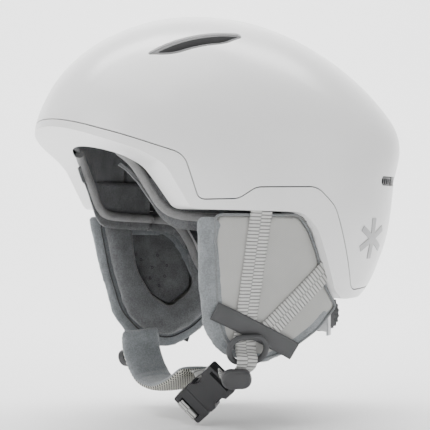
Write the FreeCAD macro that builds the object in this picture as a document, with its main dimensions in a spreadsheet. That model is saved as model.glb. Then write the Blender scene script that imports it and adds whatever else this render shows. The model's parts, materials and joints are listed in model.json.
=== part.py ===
import FreeCAD, Part
import math
import os
import PartDesign
import Sketcher
from FreeCAD import Matrix, Placement, Rotation, Vector

# Ski helmet, millimetres.  The head stands along +Z, the face looks along -Y and the wearer's left is +X.
# The origin lies on the head's axis, level with the shell's lower edge above the ears.

SIZES = {
    # the outer shell
    "half_width": 108.0,        # shell half width, above the ears
    "front_reach": 137.0,       # head axis to the tip of the brim
    "back_reach": 129.5,        # head axis to the back of the shell
    "crown_height": 136.5,      # origin to the top of the shell
    "shell_wall": 2.0,
    "shell_gap": 0.3,           # between the shells and the foam liner
    "seam_gap": 0.8,            # the reveal line between the upper and lower shell
    "lip_height": 2.0,          # the lower shell's flange under the liner
    # the foam liner's inside, the head cavity
    "liner_side": 24.0,
    "liner_front": 27.0,
    "liner_back": 27.5,
    "liner_crown": 24.0,
    "fit_gap": 0.4,             # between pieces of different materials
    "comfort_pad": 5.0,         # thickness of the pads inside the liner
    # vents
    "vent_insert_depth": 7.0,
    "vent_rim": 2.2,
    "rear_vent_length": 46.0,
    "rear_vent_height": 6.5,
    # ear pads
    "cheek_width": 101.0,       # head axis to the ear pad's outer face, level with the origin
    "cheek_taper": 0.28,        # how far the face leans in for each millimetre down
    "cover_thickness": 3.0,
    "bolster_thickness": 10.5,
    "panel_thickness": 3.2,
    "tab_thickness": 1.6,
    "tab_width": 44.0,
    "stud_radius": 3.5,
    "stud_length": 6.0,
    # webbing and its hardware
    "web_width": 15.0,
    "web_thickness": 1.4,
    "web_gap": 0.35,            # webbing to whatever it lies on
    "keeper_width": 12.5,
    "keeper_thickness": 1.2,
    "ring_length": 31.0,
    "ring_height": 21.0,
    "ring_section": 2.0,        # radius of the ring's round section
    "slider_length": 20.0,
    "slider_height": 13.0,
    "slider_thickness": 6.0,
    # chin pad
    "chin_pad_width": 30.0,
    "chin_pad_thickness": 7.0,
    # side-release buckle, along its own pull direction
    "buckle_width": 24.0,
    "buckle_length": 27.0,
    "buckle_thickness": 9.0,
    "buckle_wall": 1.7,
    "buckle_gap": 0.3,
    "base_length": 14.0,
    "prong_length": 18.0,
    "prong_width": 2.8,
    "tongue_width": 6.0,
    # fit system behind the head
    "fit_radius": 60.0,         # inside of the cradle
    "fit_centre": 20.0,         # its axis behind the head axis
    "cradle_wall": 1.6,
    "cradle_height": 26.0,
    "rack_wall": 1.2,
    "rack_height": 6.0,
    "dial_height": -77.0,
    "dial_radius": 12.5,
    "housing_radius": 14.0,
    "housing_depth": 5.4,
    "housing_wall": 1.2,
    "knob_depth": 4.5,
    "pinion_radius": 4.0,
    # goggle strap clip at the back
    "clip_width": 24.0,
    "clip_length": 34.0,
    "clip_thickness": 2.6,
    "clip_gap": 6.0,            # room for the goggle strap
    "clip_pin_radius": 1.5,
    "emblem_radius": 14.0,
    "emblem_bar": 4.2,
    "emblem_thickness": 0.5,
}

doc = FreeCAD.newDocument("ski_helmet")
sheet = doc.addObject("Spreadsheet::Sheet", "Sizes")
for row, (alias, value) in enumerate(SIZES.items(), start=1):
    sheet.set("A%d" % row, alias)
    sheet.set("B%d" % row, str(value))
    sheet.setAlias("B%d" % row, alias)
doc.recompute()


def size(alias):
    """The sheet's value of one driving size."""
    return float(sheet.get(alias))


parts = []


def keep(obj, label):
    """Give a finished sub-part its name and remember it for the export."""
    obj.Label = label
    parts.append(obj)
    return obj


def feature(label, shape):
    """A sub-part whose shape is worked out by Part's functions; it keeps the shape's own placement."""
    obj = doc.addObject("Part::Feature", label)
    obj.Shape = shape
    obj.Placement = shape.Placement
    return keep(obj, label)


# ---------------------------------------------------------------- outlines

FAR = 300.0     # past every piece, for prisms that trim


def rounded(points, radii, closed=True):
    """Edges through 2-D points with each corner turned by an arc of its radius (0 leaves it sharp)."""
    count = len(points)
    edges = []
    ends = []
    for k in range(count):
        here = Vector(points[k][0], points[k][1], 0)
        before = Vector(*points[k - 1], 0)
        after = Vector(*points[(k + 1) % count], 0)
        inner = closed or 0 < k < count - 1
        radius = radii[k] if inner else 0
        if radius <= 0:
            ends.append((here, here))
            continue
        back = (before - here).normalize()
        ahead = (after - here).normalize()
        half = back.getAngle(ahead) / 2
        reach = min(radius / math.tan(half), 0.48 * (before - here).Length, 0.48 * (after - here).Length)
        first = here + back * reach
        last = here + ahead * reach
        middle = here + (back + ahead).normalize() * (reach / math.cos(half) - reach * math.tan(half))
        edges.append((k, Part.Arc(first, middle, last).toShape()))
        ends.append((first, last))
    for k in range(count if closed else count - 1):
        start = ends[k][1]
        stop = ends[(k + 1) % count][0]
        if (stop - start).Length > 1e-6:
            edges.append((k + 0.5, Part.LineSegment(start, stop).toShape()))
    return [edge for _, edge in sorted(edges, key=lambda item: item[0])]


def face_of(points, radii):
    return Part.Face(Part.Wire(rounded(points, radii)))


SIDE_VIEW = Matrix(0, 0, 1, 0, 1, 0, 0, 0, 0, 1, 0, 0, 0, 0, 0, 1)   # (y, z) drawn flat, standing across X


def side_prism(face, low=-FAR, high=FAR):
    """A face drawn in (y, z), run across the helmet from x = low to x = high."""
    prism = face.extrude(Vector(0, 0, high - low))
    prism.translate(Vector(0, 0, low))
    return prism.transformed(SIDE_VIEW)


def plan_prism(face, low, high):
    """A face drawn in (x, y), run up from z = low to z = high."""
    prism = face.extrude(Vector(0, 0, high - low))
    prism.translate(Vector(0, 0, low))
    return prism


def grown(face, distance):
    return face.makeOffset2D(distance)


def box(low, high):
    return Part.makeBox(high[0] - low[0], high[1] - low[1], high[2] - low[2], Vector(*low))


def mirrored(shape):
    return shape.mirror(Vector(0, 0, 0), Vector(1, 0, 0))


# ---------------------------------------------------------------- the domes

def hermite(knots, z):
    """Smooth value at height z through (height, value) knots."""
    zs = [k[0] for k in knots]
    vs = [k[1] for k in knots]
    z = min(max(z, zs[0]), zs[-1])
    slopes = [(vs[i + 1] - vs[i]) / (zs[i + 1] - zs[i]) for i in range(len(zs) - 1)]
    tangents = [slopes[0]]
    for i in range(1, len(zs) - 1):
        before = zs[i] - zs[i - 1]
        after = zs[i + 1] - zs[i]
        tangents.append((slopes[i - 1] * after + slopes[i] * before) / (before + after))
    tangents.append(slopes[-1])
    i = max(k for k in range(len(zs) - 1) if zs[k] <= z)
    span = zs[i + 1] - zs[i]
    t = (z - zs[i]) / span
    value = (2 * t**3 - 3 * t**2 + 1) * vs[i] + (t**3 - 2 * t**2 + t) * span * tangents[i]
    return value + (-2 * t**3 + 3 * t**2) * vs[i + 1] + (t**3 - t**2) * span * tangents[i + 1]


# Each side of the dome: the height where its cap starts, the cap's power, and the wall below the cap as
# (height, share of the reach at the cap's start).
OUTER = {
    "front": (46.0, 1.5, [(-75, 0.672), (-40, 0.715), (0, 0.8175), (25, 0.927), (46, 1.0)]),
    "back": (48.0, 1.52, [(-75, 0.571), (-60, 0.718), (-30, 0.849), (0, 0.9), (20, 0.923), (48, 1.0)]),
    "side": (20.0, 1.8, [(-75, 0.815), (-40, 0.917), (-10, 0.9815), (20, 1.0)]),
}
CAVITY = {
    "front": (46.0, 1.6, [(-75, 0.80), (0, 0.90), (46, 1.0)]),
    "back": (48.0, 1.6, [(-75, 0.78), (-30, 0.90), (0, 0.95), (48, 1.0)]),
    "side": (20.0, 1.9, [(-75, 0.93), (-20, 0.985), (20, 1.0)]),
}
POWER_FRONT = 2.05          # plan curve's squareness ahead of the ears
POWER_BACK = 2.5            # and behind them
CROWN_SHIFT = -17.0         # the crown's centre, ahead of the rim's
SHIFT_FROM = 29.0           # height where that shift begins
LEVELS = [-75, -60, -45, -30, -15, 0, 14, 28, 42, 56, 70, 82, 93, 103, 112, 119, 125, 130, 133.5, 135.6, 136.4]
SECTION_POINTS = 36


def reach_at(profile, reach, top, z):
    start, power, wall = profile
    if z < start:
        return reach * hermite(wall, z)
    t = min(1.0, (z - start) / (top - start))
    return reach * math.sqrt(max(0.0, 1 - t**power))


def dome(profiles, half_width, front, back, top):
    """A closed solid lofted through level plan sections; every dome here shares the same section rule."""
    wires = []
    crown = size("crown_height")
    for level in LEVELS:
        share = level / 136.5
        z = share * top if level > 0 else level
        nominal = share * crown if level > 0 else level
        t = min(1.0, max(0.0, (nominal - SHIFT_FROM) / (crown - SHIFT_FROM)))
        centre = CROWN_SHIFT * t * t * (3 - 2 * t)
        side = reach_at(profiles["side"], half_width, top, z)
        ahead = reach_at(profiles["front"], front, top, z)
        behind = reach_at(profiles["back"], back, top, z)
        points = []
        for k in range(SECTION_POINTS):
            turn = 2 * math.pi * k / SECTION_POINTS
            s, c = math.sin(turn), math.cos(turn)
            power = POWER_FRONT if c > 0 else POWER_BACK
            r = (abs(s)**power + abs(c)**power)**(-1 / power)
            points.append(Vector(side * s * r, centre - (ahead if c > 0 else behind) * c * r, z))
        curve = Part.BSplineCurve()
        curve.interpolate(Points=points, PeriodicFlag=True,
                          Parameters=[k / SECTION_POINTS for k in range(SECTION_POINTS + 1)])
        wires.append(Part.Wire(curve.toShape()))
    return Part.makeLoft(wires, True, False)


def shell_dome(inset):
    """The outer form moved in by an inset."""
    return dome(OUTER, size("half_width") - inset, size("front_reach") - inset,
                size("back_reach") - inset, size("crown_height") - inset)


def cavity_dome(inset):
    """The liner's inner form moved in by an inset."""
    return dome(CAVITY, size("half_width") - size("liner_side") - inset,
                size("front_reach") - size("liner_front") - inset,
                size("back_reach") - size("liner_back") - inset,
                size("crown_height") - size("liner_crown") - inset)


# ---------------------------------------------------------------- shells, liner and vents

RIM = [(-150, 62), (-122, 47.5), (-98, 36.5), (-87, 28.5), (-70, 0), (2, -2), (14, -14), (36, -55), (46, -61.5),
       (150, -60)]
RIM_RADII = [0, 60, 60, 22, 7, 26, 30, 16, 14, 0]
SEAM = [(-150, 67.5), (-120.5, 53), (-94, 42), (-77, 35.5), (-66.5, 6.5), (-44, 7), (-33, 14.5), (12, 15),
        (27, 2), (53, -55), (150, -50)]
SEAM_RADII = [0, 60, 60, 14, 5, 9, 12, 16, 20, 8, 0]


def above(line, radii):
    """The face above a side-view line."""
    return face_of(line + [(FAR, line[-1][1]), (FAR, FAR), (-FAR, FAR), (-FAR, line[0][1])], radii + [0] * 4)


rim_face = above(RIM, RIM_RADII)
seam_face = above(SEAM, SEAM_RADII)

outer = shell_dome(0)
wall_inside = shell_dome(size("shell_wall"))
liner_outside = shell_dome(size("shell_wall") + size("shell_gap"))
cavity = cavity_dome(0)

lip_top = size("lip_height")
liner_edge = lip_top + size("shell_gap")
over_rim = side_prism(rim_face)
over_lip = side_prism(grown(rim_face, -lip_top))
over_liner_edge = side_prism(grown(rim_face, -liner_edge))

# Crown vents: a long lens on each side of the top, seen from above.
VENT = [(50.2, -87), (52.2, -50), (53.8, -17), (58.5, -17), (64.5, -33), (61.5, -72)]
VENT_RADII = [1.2, 90, 2.5, 3, 30, 40]
vent_face = face_of(VENT, VENT_RADII)
VENT_LOW = 70.0
VENT_HIGH = 150.0
vent_left = plan_prism(vent_face, VENT_LOW, VENT_HIGH)
vent_right = mirrored(vent_left)

# Rear vents: a rounded slot on each side of the back, its length level.
REAR_VENT_TURN = 139.0      # degrees round from the face
REAR_VENT_HEIGHT = 19.5


def rear_slot(margin, low=60.0, high=160.0):
    """The left rear vent's slot as a bar pointing out of the back quarter."""
    half_l = size("rear_vent_length") / 2 + margin
    half_h = size("rear_vent_height") / 2 + margin
    corners = [(-half_l, -half_h), (half_l, -half_h), (half_l, half_h), (-half_l, half_h)]
    face = face_of(corners, [half_h * 0.95] * 4)
    bar = face.extrude(Vector(0, 0, high - low))
    bar.translate(Vector(0, 0, low))
    turn = math.radians(REAR_VENT_TURN)
    out = Vector(math.sin(turn), -math.cos(turn), 0)
    across = Vector(0, 0, 1).cross(out)
    frame = Matrix(across.x, 0, out.x, 0, across.y, 0, out.y, 0, 0, 1, 0, REAR_VENT_HEIGHT, 0, 0, 0, 1)
    return bar.transformed(frame)


rear_left = rear_slot(0)
rear_right = mirrored(rear_left)
vents = [vent_left, vent_right, rear_left, rear_right]

upper = outer.cut(wall_inside).common(side_prism(seam_face)).cut(vents)
feature("upper_shell", upper)

# The lower shell wraps the liner's edge: a wall up to the reveal line and a flange under the liner.
above_seam = side_prism(grown(seam_face, size("seam_gap")))
lower = outer.common(over_rim).cut(above_seam).cut(cavity).cut(wall_inside.common(over_lip))
feature("lower_shell", lower)

# Ear pad studs push into holes in the liner; their axes run level, across the helmet.
STUD_PLACES = [(-16.0, 8.0), (6.0, 8.0)]
TAB_CENTRE = -5.0


def stud(place, radius, low, high):
    return Part.makeCylinder(radius, high - low, Vector(low, place[0], place[1]), Vector(1, 0, 0))


stud_seat = size("half_width") - size("liner_side") - size("fit_gap") - size("tab_thickness")
stud_tip = stud_seat + size("tab_thickness") + size("stud_length")
stud_holes = [stud(p, size("stud_radius") + 0.3, stud_seat - 3, stud_tip + 1.0) for p in STUD_PLACES]

liner = liner_outside.cut(cavity).common(over_liner_edge).cut(vents)
liner = liner.cut(stud_holes + [mirrored(hole) for hole in stud_holes])
feature("impact_liner", liner)

# Vent inserts: a dark tray just inside each crown vent, open down its middle.
insert_gap = size("fit_gap")
insert_layer = shell_dome(0.8).cut(shell_dome(0.8 + size("vent_insert_depth")))
tray = plan_prism(grown(vent_face, -insert_gap), VENT_LOW, VENT_HIGH)
tray_slot = plan_prism(grown(vent_face, -insert_gap - size("vent_rim")), VENT_LOW, VENT_HIGH)
vent_insert = insert_layer.common(tray).cut(tray_slot)
feature("vent_insert_left", vent_insert)
feature("vent_insert_right", mirrored(vent_insert))

# Rear vent grilles: a thin plate with bars, set back in each slot.
MESH_BARS = 9
mesh_layer = shell_dome(3.0).cut(shell_dome(4.5))
grille = mesh_layer.common(rear_slot(-size("fit_gap")))
bar_pitch = size("rear_vent_length") / (MESH_BARS + 1)
for k in range(MESH_BARS):
    along = (k - (MESH_BARS - 1) / 2) * bar_pitch
    window = Part.makeBox(bar_pitch * 0.6, 120, size("rear_vent_height") * 0.55,
                          Vector(along - bar_pitch * 0.3, 40, REAR_VENT_HEIGHT - size("rear_vent_height") * 0.275))
    window.rotate(Vector(0, 0, 0), Vector(0, 0, 1), REAR_VENT_TURN - 180)
    grille = grille.cut(window)
feature("rear_vent_mesh_left", grille)
feature("rear_vent_mesh_right", mirrored(grille))

# A plain snow-crystal emblem on each side of the upper shell, a thin applied piece.
EMBLEM_AT = (66.0, -20.0)


def crystal():
    """Six bars through a centre, drawn in (y, z)."""
    radius = size("emblem_radius")
    half = size("emblem_bar") / 2
    bars = None
    for k in range(3):
        bar = Part.makeBox(2 * radius, 2 * half, 2 * FAR, Vector(-radius, -half, -FAR))
        bar.rotate(Vector(0, 0, 0), Vector(0, 0, 1), 60 * k + 30)
        bars = bar if bars is None else bars.fuse(bar)
    bars.translate(Vector(EMBLEM_AT[0], EMBLEM_AT[1], 0))
    return bars.removeSplitter().transformed(SIDE_VIEW)


emblem = shell_dome(-size("emblem_thickness")).cut(shell_dome(-0.02)).common(crystal())
near_side = box((0, -FAR, -FAR), (FAR, FAR, FAR))
emblem_left = emblem.common(near_side)
feature("emblem_left", emblem_left)
feature("emblem_right", mirrored(emblem_left))

# ---------------------------------------------------------------- comfort pads inside the liner

pad_layer = cavity_dome(size("fit_gap")).cut(cavity_dome(size("fit_gap") + size("comfort_pad")))
pad_layer = pad_layer.common(side_prism(grown(rim_face, -liner_edge - 1.0)))
CROWN_PAD_FROM = 62.0
SIDE_PADS = (-42.0, 44.0)
PAD_SPLIT = 1.0             # open line between neighbouring pads
NAPE_PAD_LOW = -46.0
crown_pad = pad_layer.common(box((-FAR, -FAR, CROWN_PAD_FROM), (FAR, FAR, FAR)))
feature("crown_pad", crown_pad)
below = CROWN_PAD_FROM - PAD_SPLIT
brow = pad_layer.common(box((-FAR, -FAR, -FAR), (FAR, SIDE_PADS[0] - PAD_SPLIT, below)))
feature("brow_pad", brow)
side_low = 16.0             # the ear pads' tabs lie under the side pads
side = pad_layer.common(box((0, SIDE_PADS[0], side_low), (FAR, SIDE_PADS[1], below)))
feature("side_pad_left", side)
feature("side_pad_right", mirrored(side))
nape = pad_layer.common(box((-FAR, SIDE_PADS[1] + PAD_SPLIT, NAPE_PAD_LOW), (FAR, FAR, below)))
feature("nape_pad", nape)

# ---------------------------------------------------------------- ear pads

CHEEK_CENTRE = 5.0          # that curve's middle, behind the head's axis
CHEEK_REACH = 165.0         # half length of the face's plan curve
CHEEK_LOW = -150.0
CHEEK_HIGH = 30.0


def cheek(offset):
    """The ear pad's outer face moved out by an offset, as a solid filled in to the head's axis."""
    wires = []
    for z in (CHEEK_LOW, CHEEK_HIGH):
        width = size("cheek_width") + size("cheek_taper") * z + offset
        curve = Part.Ellipse(Vector(0, CHEEK_REACH + offset + CHEEK_CENTRE, z), Vector(width, CHEEK_CENTRE, z),
                             Vector(0, CHEEK_CENTRE, z))
        wires.append(Part.Wire(curve.toShape()))
    return Part.makeLoft(wires, True, True)


def cheek_layer(outer_offset, inner_offset, face):
    """The wearer's left layer between two offsets, inside a face drawn in (y, z)."""
    return cheek(outer_offset).cut(cheek(inner_offset)).common(side_prism(face, 0, FAR))


def cheek_at(y, z, offset=0.0):
    """A point on the left ear pad's outer face, moved out by an offset."""
    width = size("cheek_width") + size("cheek_taper") * z + offset
    return Vector(width * math.sqrt(1 - ((y - CHEEK_CENTRE) / (CHEEK_REACH + offset))**2), y, z)


EAR_PAD = [(-68, -3), (-63.5, -45), (-55.5, -80), (-40, -97.5), (-10, -107), (15, -98), (35, -84), (51, -70),
           (51, -3)]
EAR_PAD_RADII = [4, 60, 30, 22, 30, 60, 40, 8, 0]
EAR_HOLE = [(-34, -10), (-29, -45), (-18, -64), (-5, -72), (17, -60), (15, -24), (3, -10)]
EAR_HOLE_RADII = [5, 30, 18, 6, 14, 20, 10]
PAD_RIM_GAP = 1.2           # ear pad to the shell's lower edge
ear_face = face_of(EAR_PAD, EAR_PAD_RADII)
hole_face = face_of(EAR_HOLE, EAR_HOLE_RADII)
rim_clear = side_prism(grown(rim_face, PAD_RIM_GAP))

cover_in = -size("cover_thickness")
bolster_out = cover_in - size("fit_gap")
bolster_in = bolster_out - size("bolster_thickness")
panel_in = bolster_out - size("panel_thickness")
cover = cheek_layer(0, cover_in, ear_face).cut(rim_clear)
bolster = cheek_layer(bolster_out, bolster_in, grown(ear_face, -0.5)).cut(rim_clear)
bolster = bolster.cut(side_prism(hole_face, 0, FAR))
panel = cheek_layer(bolster_out, panel_in, grown(hole_face, -size("fit_gap")))

# The tab that carries each ear pad: a plate against the liner with studs, running down to the cover.
tab_layer = cavity_dome(size("fit_gap")).cut(cavity_dome(size("fit_gap") + size("tab_thickness")))
half_tab = size("tab_width") / 2
TAB_TOP = 14.5
tab = tab_layer.common(box((0, TAB_CENTRE - half_tab, -1.0), (FAR, TAB_CENTRE + half_tab, TAB_TOP)))
studs = [stud(p, size("stud_radius"), stud_seat - 2.0, stud_tip) for p in STUD_PLACES]
keep_out = cavity_dome(size("fit_gap") + size("tab_thickness"))
tab = tab.fuse([s.cut(keep_out) for s in studs]).removeSplitter()

for name, shape in (("ear_pad_cover", cover), ("ear_pad_bolster", bolster), ("ear_panel", panel),
                    ("ear_pad_tab", tab)):
    feature(name + "_left", shape)
    feature(name + "_right", mirrored(shape))

# ---------------------------------------------------------------- webbing on the ear pads

web_out = size("web_gap") + size("web_thickness")


def band_face(start, stop, width, start_skew=0.0, stop_skew=0.0):
    """A straight band drawn in (y, z) from start to stop, its ends slanted by a skew along its length."""
    along = (Vector(stop[0], stop[1], 0) - Vector(start[0], start[1], 0)).normalize()
    side = Vector(-along.y, along.x, 0) * (width / 2)
    first = Vector(start[0], start[1], 0)
    last = Vector(stop[0], stop[1], 0)
    corners = [first + side + along * start_skew, last + side + along * stop_skew,
               last - side - along * stop_skew, first - side - along * start_skew]
    return Part.Face(Part.makePolygon(corners + [corners[0]]))


FRONT_STRAP_TOP = (-26.5, -3.6)
FRONT_STRAP_FOOT = (-26.5, -84.0)
REAR_STRAP_TOP = (40.0, -31.0)
REAR_STRAP_FOOT = (-12.5, -84.5)
KEEPER_FRONT = (-48.0, -67.5)
KEEPER_REAR = (12.0, -95.5)
STRAP_SPLIT = 0.6                   # open line between the front and rear straps where they meet

front_band = side_prism(band_face(FRONT_STRAP_TOP, FRONT_STRAP_FOOT, size("web_width")), 0, FAR)
rear_band = side_prism(band_face(REAR_STRAP_TOP, REAR_STRAP_FOOT, size("web_width")), 0, FAR)
web_layer = cheek(web_out).cut(cheek(size("web_gap")))
front_strap = web_layer.common(front_band).cut(rim_clear)
clear_foot = (FRONT_STRAP_FOOT[0], FRONT_STRAP_FOOT[1] - 12)
clear_band = side_prism(band_face(FRONT_STRAP_TOP, clear_foot, size("web_width") + 2 * STRAP_SPLIT), 0, FAR)
rear_strap = web_layer.common(rear_band).cut(rim_clear).cut(clear_band)

keeper_out = web_out + size("web_gap") + size("keeper_thickness")
keeper_in = web_out + size("web_gap")
keeper_face = band_face(KEEPER_FRONT, KEEPER_REAR, size("keeper_width"), -2.0, 2.0)
KEEPER_FOOT = 5.0                   # length of each end of the keeper that is sewn down
keeper = cheek(keeper_out).cut(cheek(size("web_gap"))).common(side_prism(keeper_face, 0, FAR))
tunnel = band_face((KEEPER_FRONT[0] + KEEPER_FOOT, KEEPER_FRONT[1] - KEEPER_FOOT / 2),
                   (KEEPER_REAR[0] - KEEPER_FOOT, KEEPER_REAR[1] + KEEPER_FOOT / 2),
                   size("keeper_width") * 2)
keeper = keeper.cut(cheek(keeper_in).common(side_prism(tunnel, 0, FAR)))


# ---------------------------------------------------------------- ring and slider

RING_AT = (-25.0, -93.0)


def on_cheek(y, z, offset):
    """Placement on the left ear pad: local X along Y, local Y up the pad, local Z out of it."""
    here = cheek_at(y, z, offset)
    along = (cheek_at(y + 1, z, offset) - cheek_at(y - 1, z, offset)).normalize()
    up = (cheek_at(y, z + 1, offset) - cheek_at(y, z - 1, offset)).normalize()
    out = along.cross(up).normalize()
    up = out.cross(along)
    frame = Matrix(along.x, up.x, out.x, here.x, along.y, up.y, out.y, here.y,
                   along.z, up.z, out.z, here.z, 0, 0, 0, 1)
    return Placement(frame)


def oval_ring(length, height, section):
    """A flat ring of round section, its path two half circles joined by straights."""
    half = (length - height) / 2
    radius = height / 2 - section
    path = Part.Wire([
        Part.LineSegment(Vector(-half, radius, 0), Vector(half, radius, 0)).toShape(),
        Part.Arc(Vector(half, radius, 0), Vector(half + radius, 0, 0), Vector(half, -radius, 0)).toShape(),
        Part.LineSegment(Vector(half, -radius, 0), Vector(-half, -radius, 0)).toShape(),
        Part.Arc(Vector(-half, -radius, 0), Vector(-half - radius, 0, 0), Vector(-half, radius, 0)).toShape()])
    circle = Part.Wire(Part.makeCircle(section, Vector(-half, radius, 0), Vector(1, 0, 0)))
    return path.makePipeShell([circle], True, False)


ring = oval_ring(size("ring_length"), size("ring_height"), size("ring_section"))


def dome_button(length, height, thickness):
    """A low oval dome with a slot through it for the webbing."""
    half = (length - height) / 2
    outline = rounded([(-half - height / 2, -height / 2), (half + height / 2, -height / 2),
                       (half + height / 2, height / 2), (-half - height / 2, height / 2)], [height * 0.499] * 4)
    body = Part.Face(Part.Wire(outline)).extrude(Vector(0, 0, thickness))
    body.translate(Vector(0, 0, -thickness / 2))
    top = [edge for edge in body.Edges
           if abs(edge.CenterOfMass.z - thickness / 2) < 1e-6 and edge.BoundBox.ZLength < 1e-6]
    return body.makeFillet(thickness * 0.42, top)


slider = dome_button(size("slider_length"), size("slider_height"), size("slider_thickness"))

# ---------------------------------------------------------------- buckle frame, chin webbing and chin pad

BUCKLE_TOP = Vector(55, -28, -112)
BUCKLE_FOOT = Vector(22, -41, -139)
OUTWARD = Vector(0.875, -0.485, 0)          # the buckle's face looks forward and out to the side

pull = (BUCKLE_FOOT - BUCKLE_TOP).normalize()
face_out = (OUTWARD - pull * OUTWARD.dot(pull)).normalize()
broad = pull.cross(face_out)
mouth = BUCKLE_TOP + pull * (size("buckle_length") + 1.0)
buckle_frame = Placement(Matrix(broad.x, pull.x, face_out.x, mouth.x, broad.y, pull.y, face_out.y, mouth.y,
                                broad.z, pull.z, face_out.z, mouth.z, 0, 0, 0, 1))


def ribbon(stations, width, thickness):
    """A flat strap through (point, broad direction) stations, ruled from one to the next."""
    wires = []
    count = len(stations)
    for k, (point, across) in enumerate(stations):
        before = stations[max(0, k - 1)][0]
        after = stations[min(count - 1, k + 1)][0]
        along = (after - before).normalize()
        across = (across - along * across.dot(along)).normalize()
        thick = along.cross(across) * (thickness / 2)
        half = across * (width / 2)
        corners = [point - half - thick, point + half - thick, point + half + thick, point - half + thick]
        wires.append(Part.makePolygon(corners + [corners[0]]))
    lengths = [Part.makeLoft(wires[k:k + 2], True, True) for k in range(count - 1)]
    return lengths[0].fuse(lengths[1:])


FORE = Vector(0, 1, 0)

# Each lower strap starts inside the ring, passes out over the ring's lower bar and turns in under the pad.
STRAP_START = [(-25.0, -89.0, 1.2), (-25.5, -94.0, 4.2), (-26.5, -99.0, 9.3), (-27.0, -104.5, 9.5)]
UNDER_LEFT = [Vector(73, -29, -109.5), Vector(66, -29, -112.5)]
UNDER_RIGHT = [Vector(73, -29.5, -110), Vector(66, -30.5, -112.5), Vector(62, -31.5, -109.5)]
from_ring = [(cheek_at(*place), FORE) for place in STRAP_START]
to_buckle = [(Vector(60, -28.3, -113), FORE * 0.9 - broad * 0.3), (BUCKLE_TOP - pull * 1.9, broad * -1)]
left_lower = ribbon(from_ring + [(point, FORE) for point in UNDER_LEFT] + to_buckle,
                    size("web_width"), size("web_thickness"))
right_lower = ribbon(from_ring + [(point, FORE) for point in UNDER_RIGHT],
                     size("web_width"), size("web_thickness"))

# The chin webbing runs through the chin pad, then round behind the buckle to its base.
CHIN_LINE = [Vector(-52, -40, -92), Vector(-51.5, -39, -104), Vector(-46, -37, -116),
             Vector(-35, -35.5, -124.5), Vector(-15, -34.5, -126), Vector(5, -33.5, -120.5),
             Vector(19, -32.5, -113.5)]
chin_stations = [(point, FORE) for point in CHIN_LINE]
base_bar = mouth + pull * (size("base_length") + 1.6) - face_out * 5.6
chin_end = [(Vector(26.5, -31, -111.5), FORE), (Vector(28.5, -29, -120), FORE * 0.6 - broad * 0.5),
            (base_bar, broad * -1), (base_bar + face_out * 5.6, broad * -1)]
chin_pad = ribbon(chin_stations, size("chin_pad_width"), size("chin_pad_thickness"))
chin_pad = chin_pad.cut(ribbon(chin_stations, size("web_width") + 1.2, size("web_thickness") + 1.2))
chin_strap = ribbon(chin_stations + chin_end, size("web_width"), size("web_thickness"))

# The slider's face looks forward, out to the side and a little down.
slider_frame = Placement(Matrix(0.42, 0.29, 0.86, 82.3, 0.907, -0.134, -0.40, -35.2,
                                0.0, 0.948, -0.32, -112.0, 0, 0, 0, 1))
for name, shape in (("front_strap", front_strap), ("rear_strap", rear_strap), ("keeper_band", keeper)):
    feature(name + "_left", shape)
    feature(name + "_right", mirrored(shape))
feature("lower_strap_left", left_lower)
feature("lower_strap_right", mirrored(right_lower))
placed_ring = ring.transformed(on_cheek(RING_AT[0], RING_AT[1], keeper_out + 0.3 + size("ring_section")).Matrix)
feature("strap_ring_left", placed_ring)
feature("strap_ring_right", mirrored(placed_ring))
placed_slider = slider.transformed(slider_frame.Matrix)
feature("strap_slider_left", placed_slider)
feature("strap_slider_right", mirrored(placed_slider))
feature("chin_pad", chin_pad)
feature("chin_strap", chin_strap)

# ---------------------------------------------------------------- sketched bodies


def body_in(frame, label):
    body = doc.addObject("PartDesign::Body", label)
    body.Placement = frame
    return keep(body, label)


def sketch_on(body, plane):
    sketch = body.newObject("Sketcher::SketchObject", body.Name + "_sketch")
    origin = [item for item in body.Origin.OriginFeatures if item.Role == plane][0]
    sketch.AttachmentSupport = [(origin, "")]
    sketch.MapMode = "FlatFace"
    return sketch


def rectangle(sketch, left, bottom, right, top):
    """A rectangle whose four sides stand at expressions on the sheet's sizes."""
    first = sketch.GeometryCount
    corners = [Vector(0, 0, 0), Vector(9, 0, 0), Vector(9, 9, 0), Vector(0, 9, 0)]
    for k in range(4):
        sketch.addGeometry(Part.LineSegment(corners[k], corners[(k + 1) % 4]))
    for k in range(4):
        sketch.addConstraint(Sketcher.Constraint("Coincident", first + k, 2, first + (k + 1) % 4, 1))
    for k in (0, 2):
        sketch.addConstraint(Sketcher.Constraint("Horizontal", first + k))
        sketch.addConstraint(Sketcher.Constraint("Vertical", first + k + 1))
    sides = (("DistanceX", first, left), ("DistanceY", first, bottom),
             ("DistanceX", first + 2, right), ("DistanceY", first + 2, top))
    for kind, edge, text in sides:
        index = sketch.addConstraint(Sketcher.Constraint(kind, -1, 1, edge, 1, 5.0))
        sketch.setExpression("Constraints[%d]" % index, text)


def circle(sketch, along, up, radius):
    index = sketch.addGeometry(Part.Circle(Vector(1, 1, 0), Vector(0, 0, 1), 2.0))
    for kind, text in (("DistanceX", along), ("DistanceY", up)):
        place = sketch.addConstraint(Sketcher.Constraint(kind, -1, 1, index, 3, 1.0))
        sketch.setExpression("Constraints[%d]" % place, text)
    ring_size = sketch.addConstraint(Sketcher.Constraint("Radius", index, 2.0))
    sketch.setExpression("Constraints[%d]" % ring_size, radius)


def pad(body, sketch, length, both=False, reverse=False):
    new = body.newObject("PartDesign::Pad", body.Name + "_pad")
    new.Profile = sketch
    new.setExpression("Length", length)
    new.Midplane = both
    new.Reversed = reverse
    doc.recompute()
    return new


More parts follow.
